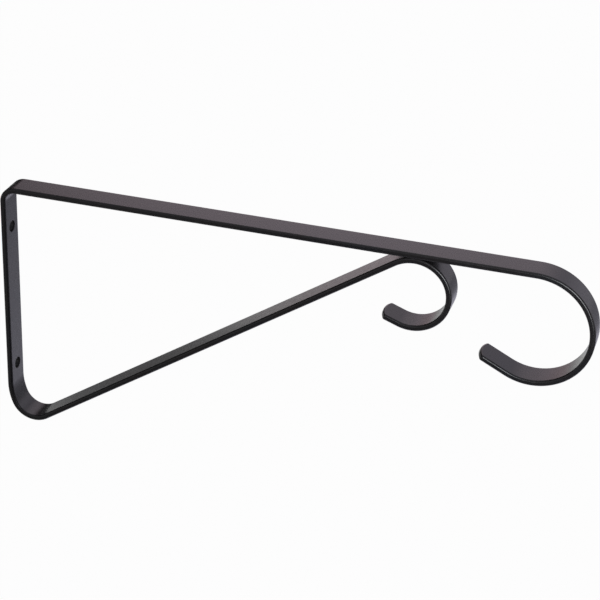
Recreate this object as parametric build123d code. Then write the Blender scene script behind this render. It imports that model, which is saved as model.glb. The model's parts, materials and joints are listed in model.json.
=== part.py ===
from build123d import *
import os
from math import asin, atan2, degrees, sqrt

# Flat steel bar, measured over its coat, all sizes in millimetres
strip_width = 17.0
strip_thickness = 3.5
edge_radius = 0.9
tip_arc_radius = 17.0
tip_corner_radius = 1.5

# Upright back, flat on the wall, with its two screw holes
hole_spacing = 94.0
hole_diameter = 7.0
hole_chamfer = 0.4
upper_hole_to_arm_top = 28.8
lower_hole_to_heel = 10.9

# Level arm, from the wall face to the outside of the large hook
arm_reach = 359.2

# Every bend radius is measured on the inside of its own bend
corner_bend_radius = 6.2
heel_lead_radius = 34.2
heel_lead_angle = 21.7
heel_bend_radius = 12.2

# Large hook: a quarter turn over, a slightly tighter return, and a straight tail
large_hook_radius = 33.0
large_return_radius = 30.5
large_return_angle = 116.2
large_tail_length = 18.9

# Small hook: its crown lies under the arm, this far back from the outside of the large hook
hook_pitch = 105.3
small_hook_radius = 19.4
small_hook_wrap = 200.0
small_tail_length = 11.3

# Weld that joins the crown to the arm and fills the wedge on each side of it
weld_length = 14.0
weld_width = 12.0
weld_depth = 0.4

# The bar's middle line, drawn in x and z: first the arm and the large hook
half = strip_thickness / 2
arm_top = hole_spacing / 2 + upper_hole_to_arm_top
arm_start = (strip_thickness + corner_bend_radius, arm_top - half)
arm_end = (arm_reach - strip_thickness - large_hook_radius, arm_top - half)
arm = Line(arm_start, arm_end)
large_over = JernArc(arm @ 1, arm % 1, large_hook_radius + half, -90)
large_return = JernArc(large_over @ 1, large_over % 1, large_return_radius + half, -large_return_angle)
large_tail = PolarLine(large_return @ 1, large_tail_length, direction=large_return % 1)

# The top corner, the back, and the easy first part of the heel
corner = JernArc(arm @ 0, (-1, 0), corner_bend_radius + half, 90)
back = Line(corner @ 1, (half, -hole_spacing / 2 - lower_hole_to_heel))
heel_lead = JernArc(back @ 1, back % 1, heel_lead_radius + half, heel_lead_angle)

# The brace is the straight run that leaves the heel and passes smoothly into the crown
heel_radius = heel_bend_radius + half
crown_radius = small_hook_radius + half
crown_x = arm_reach - hook_pitch
crown_top = arm_top - strip_thickness + weld_depth
crown_centre = Vector(crown_x, crown_top - half - crown_radius)
heel_centre = heel_lead @ 1 + (heel_lead % 1).rotate(Axis.Z, 90) * heel_radius
span = crown_centre - heel_centre
bend_sum = heel_radius + crown_radius
brace_angle = degrees(atan2(span.Y, span.X) + asin(bend_sum / span.length))
heel = JernArc(heel_lead @ 1, heel_lead % 1, heel_radius, 90 - heel_lead_angle + brace_angle)
brace = PolarLine(heel @ 1, sqrt(span.length**2 - bend_sum**2), brace_angle)
crown = JernArc(brace @ 1, brace % 1, crown_radius, -brace_angle - small_hook_wrap)
small_tail = PolarLine(crown @ 1, small_tail_length, direction=crown % 1)


def bent_bar(runs, tail):
    """The bar's section swept along its runs, its tail cut to a shallow arc, and all its edges rounded."""
    path = Plane.XZ * Wire(runs)
    section_plane = Plane(origin=path @ 0, x_dir=(0, 1, 0), z_dir=path % 0)
    bar = sweep(section_plane * Rectangle(strip_width, strip_thickness), path=path)
    tip = Vector((tail @ 1).X, 0, (tail @ 1).Y)
    heading = Vector((tail % 1).X, 0, (tail % 1).Y)
    tail_plane = Plane(origin=tip, x_dir=heading, z_dir=heading.cross(Vector(0, 1, 0)))
    waste = Rectangle(tip_arc_radius, 2 * strip_width) - Pos(-tip_arc_radius, 0) * Circle(tip_arc_radius)
    bar -= extrude(tail_plane * waste, strip_thickness, both=True)
    tip_face = bar.faces().sort_by_distance(tip)[0]
    bar = fillet(tip_face.edges().filter_by(GeomType.LINE), tip_corner_radius)
    tip_face = bar.faces().sort_by_distance(tip)[0]
    return fillet(tip_face.edges().filter_by(GeomType.CIRCLE), edge_radius)


# One bar, drawn as two lengths that meet where the heel runs into the brace
frame_runs = [large_tail, large_return, large_over, arm, corner, back, heel_lead, heel]
frame_bar = bent_bar(frame_runs, large_tail)
brace_bar = bent_bar([brace, crown, small_tail], small_tail)

# Screw holes, straight through the back, with their rims eased on both faces
hole_cutter = Rot(0, 90, 0) * Cylinder(hole_diameter / 2, 2 * strip_thickness)
holes = [Pos(half, 0, height) * hole_cutter for height in (hole_spacing / 2, -hole_spacing / 2)]
drilled_bar = frame_bar - holes
hole_rims = new_edges(frame_bar, combined=drilled_bar).filter_by(GeomType.CIRCLE)
drilled_bar = chamfer(hole_rims, hole_chamfer)

# The weld's outline: flat under the arm, with a hollow face at each end down to the crown
weld_end = weld_length / 2
outer_radius = crown_radius + half
wedge_height = outer_radius - sqrt(outer_radius**2 - weld_end**2) - weld_depth
arm_under = arm_top - strip_thickness
weld_foot = arm_under - wedge_height
weld_top = Line((crown_x - weld_end, arm_under), (crown_x + weld_end, arm_under))
weld_right = SagittaArc(weld_top @ 1, (crown_x + weld_end, weld_foot), -wedge_height / 4)
weld_under = Line(weld_right @ 1, (crown_x - weld_end, weld_foot))
weld_left = SagittaArc(weld_under @ 1, weld_top @ 0, -wedge_height / 4)
weld_outline = make_face([weld_top, weld_right, weld_under, weld_left])
weld = extrude(Plane.XZ * weld_outline, weld_width / 2, both=True)

bracket = drilled_bar + brace_bar + weld
bracket.label = "planter_bracket"
os.makedirs("parts", exist_ok=True)
export_step(bracket, "parts/planter_bracket.step")
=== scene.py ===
import json
from math import asin, atan2, cos, radians, sin, sqrt, tan

import bmesh
import bpy
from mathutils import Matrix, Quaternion, Vector


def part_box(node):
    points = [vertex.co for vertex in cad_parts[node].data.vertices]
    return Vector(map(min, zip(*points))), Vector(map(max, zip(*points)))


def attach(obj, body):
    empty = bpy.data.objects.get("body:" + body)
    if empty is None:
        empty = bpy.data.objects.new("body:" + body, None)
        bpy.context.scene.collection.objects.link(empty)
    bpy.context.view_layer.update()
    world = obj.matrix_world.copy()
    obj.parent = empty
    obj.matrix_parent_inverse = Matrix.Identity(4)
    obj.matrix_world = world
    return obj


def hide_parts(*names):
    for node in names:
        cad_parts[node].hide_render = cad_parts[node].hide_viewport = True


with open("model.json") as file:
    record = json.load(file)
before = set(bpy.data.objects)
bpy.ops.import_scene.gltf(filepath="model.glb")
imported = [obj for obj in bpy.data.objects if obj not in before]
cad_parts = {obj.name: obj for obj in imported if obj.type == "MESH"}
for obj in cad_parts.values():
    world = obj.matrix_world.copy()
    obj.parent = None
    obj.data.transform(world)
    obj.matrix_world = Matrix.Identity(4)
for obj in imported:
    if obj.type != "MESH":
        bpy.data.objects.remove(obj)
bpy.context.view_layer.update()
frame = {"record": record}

# Bent bar
# One length of flat steel bar with rolled edges, bent cold in one plane: hook, arm, back, brace and hook.
# It is modelled as it is bent: the straight arm first, then each end is drawn on and turned, bend by bend.
bar_low, bar_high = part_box("planter_bracket")
screws = next(mount for mount in frame["record"]["mounts"] if mount["name"] == "wall_screws")
bar_width = bar_high.y - bar_low.y
bar_thickness = 0.0035
half_thickness = bar_thickness / 2
arm_top = bar_high.z
arm_reach = bar_high.x
arm_under = arm_top - bar_thickness
hole_spacing = screws["dims"]["spacing_y_mm"] / 1000
hole_radius = screws["dims"]["hole_r_mm"] / 1000
lower_hole_to_heel = 0.0109
heel_start = -hole_spacing / 2 - lower_hole_to_heel

# Each bend is given by its inside radius; half the bar's thickness more takes it to the middle line
corner_radius = 0.0062 + half_thickness
large_over_radius = 0.033 + half_thickness
large_return_radius = 0.0305 + half_thickness
large_return_turn = radians(116.2)
large_tail = 0.0189
heel_lead_radius = 0.0342 + half_thickness
heel_lead_turn = radians(21.7)
heel_radius = 0.0122 + half_thickness
hook_pitch = 0.1053
crown_radius = 0.0194 + half_thickness
crown_wrap = radians(200.0)
small_tail = 0.0113
weld_depth = 0.0004

# The brace runs straight from the heel's bend to the crown's, so its slope follows from their two centres
lead_centre = Vector((half_thickness + heel_lead_radius, 0, heel_start))
lead_to_heel = heel_lead_radius - heel_radius
heel_centre = lead_centre - lead_to_heel * Vector((cos(heel_lead_turn), 0, sin(heel_lead_turn)))
crown_x = arm_reach - hook_pitch
crown_centre = Vector((crown_x, 0, arm_under + weld_depth - half_thickness - crown_radius))
span = crown_centre - heel_centre
brace_slope = atan2(span.z, span.x) + asin((heel_radius + crown_radius) / span.length)
brace_length = sqrt(span.length**2 - (heel_radius + crown_radius) ** 2)

arm_from = Vector((half_thickness + corner_radius, 0, arm_top - half_thickness))
arm_to = Vector((arm_reach - half_thickness - large_over_radius, 0, arm_top - half_thickness))
bpy.ops.object.select_all(action="DESELECT")
bpy.ops.mesh.primitive_cube_add(size=1, location=(arm_from + arm_to) / 2)
bar = bpy.context.object
bar.name = bar.data.name = "bent_bar"
bar.scale = (arm_to.x - arm_from.x, bar_width, bar_thickness)
bpy.ops.object.transform_apply(location=True, rotation=False, scale=True)
bpy.ops.object.mode_set(mode="EDIT")


def pick(kind, wanted):
    """Selects only those verts, edges or faces of the mesh in edit mode that the test accepts."""
    bpy.ops.mesh.select_mode(type={"verts": "VERT", "edges": "EDGE", "faces": "FACE"}[kind])
    bpy.ops.mesh.select_all(action="DESELECT")
    mesh = bmesh.from_edit_mesh(bpy.context.object.data)
    for item in getattr(mesh, kind):
        if wanted(item):
            item.select_set(True)
    bmesh.update_edit_mesh(bpy.context.object.data)


def end_face():
    """Centre and outward direction of the selected end of the bar."""
    mesh = bmesh.from_edit_mesh(bpy.context.object.data)
    face = next(face for face in mesh.faces if face.select)
    return face.calc_center_median(), face.normal.copy()


def draw_on(length):
    """Draws the selected end of the bar straight on."""
    heading = end_face()[1]
    bpy.ops.mesh.extrude_region_move(TRANSFORM_OT_translate={"value": heading * length})


bend_step = radians(2.5)
fewest_steps = 4


def bend(radius, turn):
    """Turns the selected end about an axis across the bar's width; a turn above zero goes to the left."""
    place, heading = end_face()
    left = Vector((-heading.z, 0, heading.x))
    side = 1 if turn > 0 else -1
    steps = max(fewest_steps, round(abs(turn) / bend_step))
    bpy.ops.mesh.spin(steps=steps, angle=abs(turn), center=place + left * radius * side, axis=(0, side, 0))


# Each tail is cut to a shallow arc, as wide in radius as the bar, and its two corners are eased
tip_arc = 0.017
tip_corner = 0.0015
tip_corner_segments = 6
tip_cuts = 15
tip_foot = sqrt(tip_arc**2 - bar_width**2 / 4)
tip_rise = tip_arc - tip_foot
tip_setback = tip_corner * tan((radians(90) - asin(bar_width / 2 / tip_arc)) / 2)
near_enough = 1e-5


def round_tip():
    """Gives the selected end of the bar its arc and its eased corners."""
    place, heading = end_face()

    def at_end(vert):
        offset = vert.co - place
        return abs(offset.dot(heading)) < near_enough and offset.length < bar_width

    def across(edge):
        return abs(edge.verts[0].co.y - edge.verts[1].co.y) > half_thickness

    pick("edges", lambda edge: across(edge) and all(at_end(vert) for vert in edge.verts))
    bpy.ops.mesh.subdivide(number_cuts=tip_cuts)
    for row in range(1, tip_cuts + 1):
        y = bar_width * (row / (tip_cuts + 1) - 0.5)
        pick("verts", lambda vert: at_end(vert) and abs(vert.co.y - y) < near_enough)
        bpy.ops.transform.translate(value=heading * (sqrt(tip_arc**2 - y**2) - tip_foot))
    pick("edges", lambda edge: not across(edge) and all(at_end(vert) for vert in edge.verts))
    bpy.ops.mesh.bevel(offset=tip_setback, segments=tip_corner_segments, affect="EDGES")


# From the arm's outer end to the large hook's tail, then from its wall end round to the small hook's tail
square_on = 0.9
pick("faces", lambda face: face.normal.x > square_on)
bend(large_over_radius, -radians(90))
bend(large_return_radius, -large_return_turn)
draw_on(large_tail - tip_rise)
round_tip()


def wall_end(face):
    """True for the end of the arm that the top corner is bent from."""
    return face.normal.x < -square_on and abs(face.calc_center_median().x - arm_from.x) < near_enough


pick("faces", wall_end)
bend(corner_radius, radians(90))
draw_on(arm_top - half_thickness - corner_radius - heel_start)
bend(heel_lead_radius, heel_lead_turn)
bend(heel_radius, radians(90) - heel_lead_turn + brace_slope)
draw_on(brace_length)
bend(crown_radius, -brace_slope - crown_wrap)
draw_on(small_tail - tip_rise)
round_tip()
bpy.ops.object.mode_set(mode="OBJECT")

# The rolled edges are round all along the bar and across both tips
edge_round = 0.00115
edge_segments = 6
edge_from_angle = radians(50)
rounding = bar.modifiers.new("rounding", "BEVEL")
rounding.width = edge_round
rounding.segments = edge_segments
rounding.limit_method = "ANGLE"
rounding.angle_limit = edge_from_angle
bpy.ops.object.modifier_apply(modifier="rounding")

# Two screw holes are drilled through the back, and their rims are eased on both faces
hole_sides = 64
hole_chamfer = 0.0004
chamfer_segments = 2
drill_length = 4 * bar_thickness
rim_slack = 2e-5
rim_from_angle = radians(57)


def on_rim(edge, height):
    """True for an edge on either rim of the hole at that height."""
    for vert in edge.verts:
        from_axis = sqrt(vert.co.y**2 + (vert.co.z - height) ** 2)
        if vert.co.x >= 2 * bar_thickness or abs(from_axis - hole_radius) >= rim_slack:
            return False
    return edge.calc_face_angle(0) > rim_from_angle


for height in (hole_spacing / 2, -hole_spacing / 2):
    bpy.ops.object.select_all(action="DESELECT")
    bpy.ops.mesh.primitive_cylinder_add(
        vertices=hole_sides,
        radius=hole_radius,
        depth=drill_length,
        location=(half_thickness, 0, height),
        rotation=(0, radians(90), 0),
    )
    drill = bpy.context.object
    bpy.ops.object.select_all(action="DESELECT")
    bar.select_set(True)
    bpy.context.view_layer.objects.active = bar
    hole = bar.modifiers.new("hole", "BOOLEAN")
    hole.operation = "DIFFERENCE"
    hole.solver = "EXACT"
    hole.object = drill
    bpy.ops.object.modifier_apply(modifier="hole")
    bpy.data.objects.remove(drill)
    bpy.ops.object.mode_set(mode="EDIT")
    pick("edges", lambda edge: on_rim(edge, height))
    bpy.ops.mesh.bevel(offset=hole_chamfer, segments=chamfer_segments, affect="EDGES")
    bpy.ops.object.mode_set(mode="OBJECT")
bar_smooth_below = radians(35)
bpy.ops.object.shade_smooth_by_angle(angle=bar_smooth_below)
flat_faces = bar.modifiers.new("flat_faces", "WEIGHTED_NORMAL")
flat_faces.keep_sharp = True
bpy.ops.object.modifier_apply(modifier="flat_faces")

# The coat is a satin black powder, baked on, with a faint orange-peel skin and warm and cool drifts in it
powder = bpy.data.node_groups.new("powder_coat", "ShaderNodeTree")
for name, kind in (
    ("Cool Colour", "NodeSocketColor"),
    ("Warm Colour", "NodeSocketColor"),
    ("Roughness", "NodeSocketFloat"),
    ("Roughness Spread", "NodeSocketFloat"),
    ("Peel Scale", "NodeSocketFloat"),
    ("Peel Height", "NodeSocketFloat"),
):
    powder.interface.new_socket(name=name, in_out="INPUT", socket_type=kind)
for name, kind in (
    ("Colour", "NodeSocketColor"),
    ("Roughness", "NodeSocketFloat"),
    ("Normal", "NodeSocketVector"),
):
    powder.interface.new_socket(name=name, in_out="OUTPUT", socket_type=kind)
nodes, links = powder.nodes, powder.links
given = nodes.new("NodeGroupInput")
result = nodes.new("NodeGroupOutput")
place_on_part = nodes.new("ShaderNodeTexCoord")

# Slow drifts between the two blacks, some 20 mm long
drift = nodes.new("ShaderNodeTexNoise")
drift.inputs["Scale"].default_value = 45.0
drift.inputs["Detail"].default_value = 3.0
drift_range = nodes.new("ShaderNodeMapRange")
drift_range.inputs["From Min"].default_value = 0.35
drift_range.inputs["From Max"].default_value = 0.65
tint = nodes.new("ShaderNodeMix")
tint.data_type = "RGBA"
links.new(place_on_part.outputs["Object"], drift.inputs["Vector"])
links.new(drift.outputs["Fac"], drift_range.inputs["Value"])
links.new(drift_range.outputs["Result"], tint.inputs["Factor"])
links.new(given.outputs["Cool Colour"], tint.inputs["A"])
links.new(given.outputs["Warm Colour"], tint.inputs["B"])
links.new(tint.outputs["Result"], result.inputs["Colour"])

# Gloss that is uneven over a few millimetres, as much above the given roughness as below it
noise_middle = 0.5
grain = nodes.new("ShaderNodeTexNoise")
grain.inputs["Scale"].default_value = 420.0
grain.inputs["Detail"].default_value = 2.0
grain_centred = nodes.new("ShaderNodeMath")
grain_centred.operation = "SUBTRACT"
grain_centred.inputs[1].default_value = noise_middle
gloss = nodes.new("ShaderNodeMath")
gloss.operation = "MULTIPLY_ADD"
links.new(place_on_part.outputs["Object"], grain.inputs["Vector"])
links.new(grain.outputs["Fac"], grain_centred.inputs[0])
links.new(grain_centred.outputs[0], gloss.inputs[0])
links.new(given.outputs["Roughness Spread"], gloss.inputs[1])
links.new(given.outputs["Roughness"], gloss.inputs[2])
links.new(gloss.outputs[0], result.inputs["Roughness"])

# The orange-peel skin, about a millimetre from bump to bump
peel = nodes.new("ShaderNodeTexNoise")
peel.inputs["Detail"].default_value = 1.5
skin = nodes.new("ShaderNodeBump")
links.new(place_on_part.outputs["Object"], peel.inputs["Vector"])
links.new(given.outputs["Peel Scale"], peel.inputs["Scale"])
links.new(peel.outputs["Fac"], skin.inputs["Height"])
links.new(given.outputs["Peel Height"], skin.inputs["Distance"])
links.new(skin.outputs["Normal"], result.inputs["Normal"])


def coated(name, cool, warm, roughness, spread, peel_scale, peel_height):
    """A material with the powder coat on it."""
    material = bpy.data.materials.new(name)
    material.use_nodes = True
    nodes, links = material.node_tree.nodes, material.node_tree.links
    shader = nodes["Principled BSDF"]
    coat = nodes.new("ShaderNodeGroup")
    coat.node_tree = powder
    coat.inputs["Cool Colour"].default_value = (*cool, 1)
    coat.inputs["Warm Colour"].default_value = (*warm, 1)
    coat.inputs["Roughness"].default_value = roughness
    coat.inputs["Roughness Spread"].default_value = spread
    coat.inputs["Peel Scale"].default_value = peel_scale
    coat.inputs["Peel Height"].default_value = peel_height
    links.new(coat.outputs["Colour"], shader.inputs["Base Color"])
    links.new(coat.outputs["Roughness"], shader.inputs["Roughness"])
    links.new(coat.outputs["Normal"], shader.inputs["Normal"])
    return material


black_cool = (0.0095, 0.0098, 0.0115)
black_warm = (0.0115, 0.0100, 0.0105)
bar_coat = coated(
    "bar_coat", black_cool, black_warm, roughness=0.29, spread=0.14, peel_scale=900.0, peel_height=0.00001
)
bar.data.materials.append(bar_coat)
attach(bar, "root")
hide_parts("planter_bracket")

# Weld
# Where the brace's crown touches the arm, a fillet weld on each side joins the two, laid across by hand.
# It is a rippled bead of melted wire under the coat. The one on the wall's side is modelled, and the other
# is its copy.
bead_radius = 0.0009
bead_sides = 16
bead_length = 0.012
bead_reach = 0.0062
bead_end = 0.55
ripple = [1.0, 0.86]
ripple_count = 10
bead_swell = [bead_end] + ripple * ripple_count + [1.0, bead_end]
bead_step = bead_length / (len(bead_swell) - 1)
bead_place = Vector((crown_x - bead_reach, -bead_length / 2, arm_under - bead_radius / 2))
bpy.ops.object.select_all(action="DESELECT")
bpy.ops.mesh.primitive_circle_add(
    vertices=bead_sides,
    radius=bead_radius * bead_swell[0],
    fill_type="NGON",
    location=bead_place,
    rotation=(radians(90), 0, 0),
)
bead = bpy.context.object
bead.name = bead.data.name = "weld_wall_side"
bpy.ops.object.transform_apply(location=True, rotation=True, scale=False)
bpy.ops.object.mode_set(mode="EDIT")
bpy.ops.mesh.select_all(action="SELECT")
for before, after in zip(bead_swell, bead_swell[1:]):
    bpy.ops.mesh.extrude_region_move(TRANSFORM_OT_translate={"value": (0, bead_step, 0)})
    bead_place.y += bead_step
    bpy.ops.transform.resize(value=(after / before, 1, after / before), center_override=bead_place)
bpy.ops.mesh.select_all(action="SELECT")
bpy.ops.mesh.normals_make_consistent(inside=False)
bpy.ops.object.mode_set(mode="OBJECT")
bead_smooth_below = radians(60)
bpy.ops.object.shade_smooth_by_angle(angle=bead_smooth_below)
weld_coat = coated(
    "weld_coat", black_cool, black_warm, roughness=0.44, spread=0.16, peel_scale=700.0, peel_height=0.00003
)
bead.data.materials.append(weld_coat)
bpy.ops.object.duplicate(linked=False)
bead_copy = bpy.context.object
bead_copy.name = bead_copy.data.name = "weld_hook_side"
bpy.ops.transform.translate(value=(2 * bead_reach, 0, 0))
bpy.ops.object.transform_apply(location=True, rotation=False, scale=False)
for piece in (bead, bead_copy):
    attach(piece, "root")
    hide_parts("planter_bracket")

# Floor
# A plain pale studio floor, painted matt, well below the bracket, which hangs on a wall and never stands.
# It shows white to the lens and in reflections, and still takes the bracket's soft shadow.
floor_drop = 0.9
floor_level = bar_low.z - floor_drop
floor_middle = (0.18, 0, floor_level)
floor_size = 30
floor_pale = (0.9, 0.9, 0.9, 1)
white_share = 0.97
bpy.ops.object.select_all(action="DESELECT")
bpy.ops.mesh.primitive_plane_add(size=floor_size, location=floor_middle)
floor = bpy.context.object
floor.name = "floor"
floor_paint = bpy.data.materials.new("pale_floor")
floor_paint.use_nodes = True
nodes, links = floor_paint.node_tree.nodes, floor_paint.node_tree.links
nodes.remove(nodes["Principled BSDF"])
matt = nodes.new("ShaderNodeBsdfDiffuse")
matt.inputs["Color"].default_value = floor_pale
white = nodes.new("ShaderNodeEmission")
white.inputs["Color"].default_value = (1, 1, 1, 1)
light_path = nodes.new("ShaderNodeLightPath")
seen = nodes.new("ShaderNodeMath")
seen.operation = "MAXIMUM"
links.new(light_path.outputs["Is Camera Ray"], seen.inputs[0])
links.new(light_path.outputs["Is Glossy Ray"], seen.inputs[1])
seen_through = nodes.new("ShaderNodeMath")
seen_through.operation = "MAXIMUM"
links.new(seen.outputs[0], seen_through.inputs[0])
links.new(light_path.outputs["Is Transmission Ray"], seen_through.inputs[1])
share = nodes.new("ShaderNodeMath")
share.operation = "MULTIPLY"
share.inputs[1].default_value = white_share
links.new(seen_through.outputs[0], share.inputs[0])
both = nodes.new("ShaderNodeMixShader")
links.new(share.outputs[0], both.inputs[0])
links.new(matt.outputs[0], both.inputs[1])
links.new(white.outputs[0], both.inputs[2])
links.new(both.outputs[0], nodes["Material Output"].inputs["Surface"])
floor.data.materials.append(floor_paint)

# Cards
# Five painted boards, set up as in a studio: a dark one lies on the floor on the lens's side, a cool grey
# and a darker one lie behind the bracket, and two narrow strips stand behind its back. The cool grey
# board, the darker one and the lower strip also glow with their own light, as dim screens. The lens does
# not see them, they throw no shadow, and they only show in the coat's reflections.
card_lift = 0.05
card_level = floor_level + card_lift
for name, middle, size, upright, paint, own_light in (
    ("front_card", (0.0, -5.4, card_level), (14.0, 10.0), False, (0.03, 0.03, 0.03, 1), 0.0),
    ("back_card", (0.31, 4.6, card_level), (1.02, 10.0), False, (0.80, 0.80, 0.90, 1), 0.65),
    ("right_card", (4.42, 4.6, card_level), (7.2, 10.0), False, (0.24, 0.24, 0.27, 1), 0.90),
    ("lower_strip", (-0.262, 0.5, -0.15), (0.186, 0.44), True, (0.12, 0.12, 0.12, 1), 1.9),
    ("upper_strip", (-0.34, 0.5, 0.165), (0.18, 0.27), True, (0.03, 0.03, 0.03, 1), 0.0),
):
    bpy.ops.object.select_all(action="DESELECT")
    turned = (radians(90), 0, 0) if upright else (0, 0, 0)
    bpy.ops.mesh.primitive_plane_add(size=1, location=middle, rotation=turned)
    card = bpy.context.object
    card.name = name
    card.scale = (*size, 1)
    bpy.ops.object.transform_apply(location=True, rotation=True, scale=True)
    card_paint = bpy.data.materials.new(name)
    card_paint.use_nodes = True
    card_shader = card_paint.node_tree.nodes["Principled BSDF"]
    card_shader.inputs["Base Color"].default_value = paint
    card_shader.inputs["Roughness"].default_value = 1.0
    card_shader.inputs["Specular IOR Level"].default_value = 0.0
    # The board glows in its own paint colour at the own_light strength; this light shows only in the
    # coat's reflections
    card_shader.inputs["Emission Color"].default_value = paint
    card_shader.inputs["Emission Strength"].default_value = own_light
    card.data.materials.append(card_paint)
    card.visible_camera = False
    card.visible_diffuse = False
    card.visible_shadow = False
    card.visible_transmission = False

# Studio light
# Soft glowing screens in a dim surround: behind the bracket, over it and, weakly, in front. Each one is
# full inside its first angle and fades out at its second. Two softboxes stand on the lens's side: a small
# one glints along the hooks' edges, and a wide, weak one fills the near edges.
dim_surround = (0.04, 0.04, 0.04, 1)
world = bpy.data.worlds.new("studio")
bpy.context.scene.world = world
world.use_nodes = True
nodes, links = world.node_tree.nodes, world.node_tree.links
direction = nodes.new("ShaderNodeTexCoord")
surround = None
for name, towards, full_angle, end_angle, colour in (
    ("back_screen", (0.488, 0.812, 0.319), 46, 60, (0.56, 0.525, 0.615, 1)),
    ("hook_side_screen", (0.600, 0.715, 0.360), 8, 20, (0.34, 0.34, 0.37, 1)),
    ("wall_side_screen", (-0.250, 0.800, 0.545), 10, 34, (0.23, 0.16, 0.16, 1)),
    ("high_screen", (0.000, 0.616, 0.788), 10, 27, (0.42, 0.40, 0.42, 1)),
    ("low_screen", (-0.292, 0.956, 0.000), 11, 20, (1.17, 0.93, 1.01, 1)),
    ("front_screen", (0.100, -0.850, 0.500), 25, 65, (0.24, 0.24, 0.26, 1)),
    ("overhead_screen", (0.000, 0.000, 1.000), 14, 40, (0.40, 0.40, 0.42, 1)),
):
    facing = nodes.new("ShaderNodeVectorMath")
    facing.operation = "DOT_PRODUCT"
    facing.inputs[1].default_value = Vector(towards).normalized()
    fade = nodes.new("ShaderNodeMapRange")
    fade.interpolation_type = "SMOOTHSTEP"
    fade.inputs["From Min"].default_value = cos(radians(end_angle))
    fade.inputs["From Max"].default_value = cos(radians(full_angle))
    screen = nodes.new("ShaderNodeMix")
    screen.label = name
    screen.data_type = "RGBA"
    screen.blend_type = "ADD"
    screen.inputs["A"].default_value = dim_surround
    screen.inputs["B"].default_value = colour
    links.new(direction.outputs["Generated"], facing.inputs[0])
    links.new(facing.outputs["Value"], fade.inputs["Value"])
    links.new(fade.outputs["Result"], screen.inputs["Factor"])
    if surround:
        links.new(surround, screen.inputs["A"])
    surround = screen.outputs["Result"]
links.new(surround, nodes["Background"].inputs["Color"])

for name, aim, towards, distance, size, beam, watts, colour in (
    ("hook_softbox", (0.32, 0, 0.045), (0.34, -0.93, 0.05), 0.5, 0.27, 60, 0.30, (0.93, 0.96, 1.0)),
    ("fill_softbox", (0.05, 0, 0.0), (-0.62, -0.78, -0.18), 0.9, 0.90, 180, 0.55, (1.0, 0.98, 0.96)),
):
    lamp_data = bpy.data.lights.new(name, "AREA")
    lamp_data.size = size
    lamp_data.spread = radians(beam)
    lamp_data.energy = watts
    lamp_data.color = colour
    lamp = bpy.data.objects.new(name, lamp_data)
    lamp.visible_camera = False
    bpy.context.scene.collection.objects.link(lamp)
    lamp.location = Vector(aim) + Vector(towards).normalized() * distance
    lamp.rotation_euler = (Vector(aim) - lamp.location).to_track_quat("-Z", "Y").to_euler()

# Camera
# A long lens about a metre away looks down on the bracket from the front, a little to the hooks' side.
# It is rolled by about two degrees.
camera_aim = Vector((0.1859, 0, 0.0303))
camera_distance = 1.0572
camera_azimuth = radians(16.03)
camera_elevation = radians(27.05)
camera_roll = radians(2.25)
sensor_width = 36.0
focal_pixels = 1813.5
image_pixels = 600
camera_data = bpy.data.cameras.new("camera")
camera_data.sensor_width = sensor_width
camera_data.lens = focal_pixels * sensor_width / image_pixels
camera = bpy.data.objects.new("camera", camera_data)
bpy.context.scene.collection.objects.link(camera)
away = Vector((sin(camera_azimuth), -cos(camera_azimuth), 0)) * cos(camera_elevation)
away.z = sin(camera_elevation)
camera.location = camera_aim + away * camera_distance
turn = (-away).to_track_quat("-Z", "Y") @ Quaternion((0, 0, 1), camera_roll)
camera.rotation_euler = turn.to_euler()
bpy.context.scene.camera = camera
bpy.context.scene.view_settings.view_transform = "Standard"
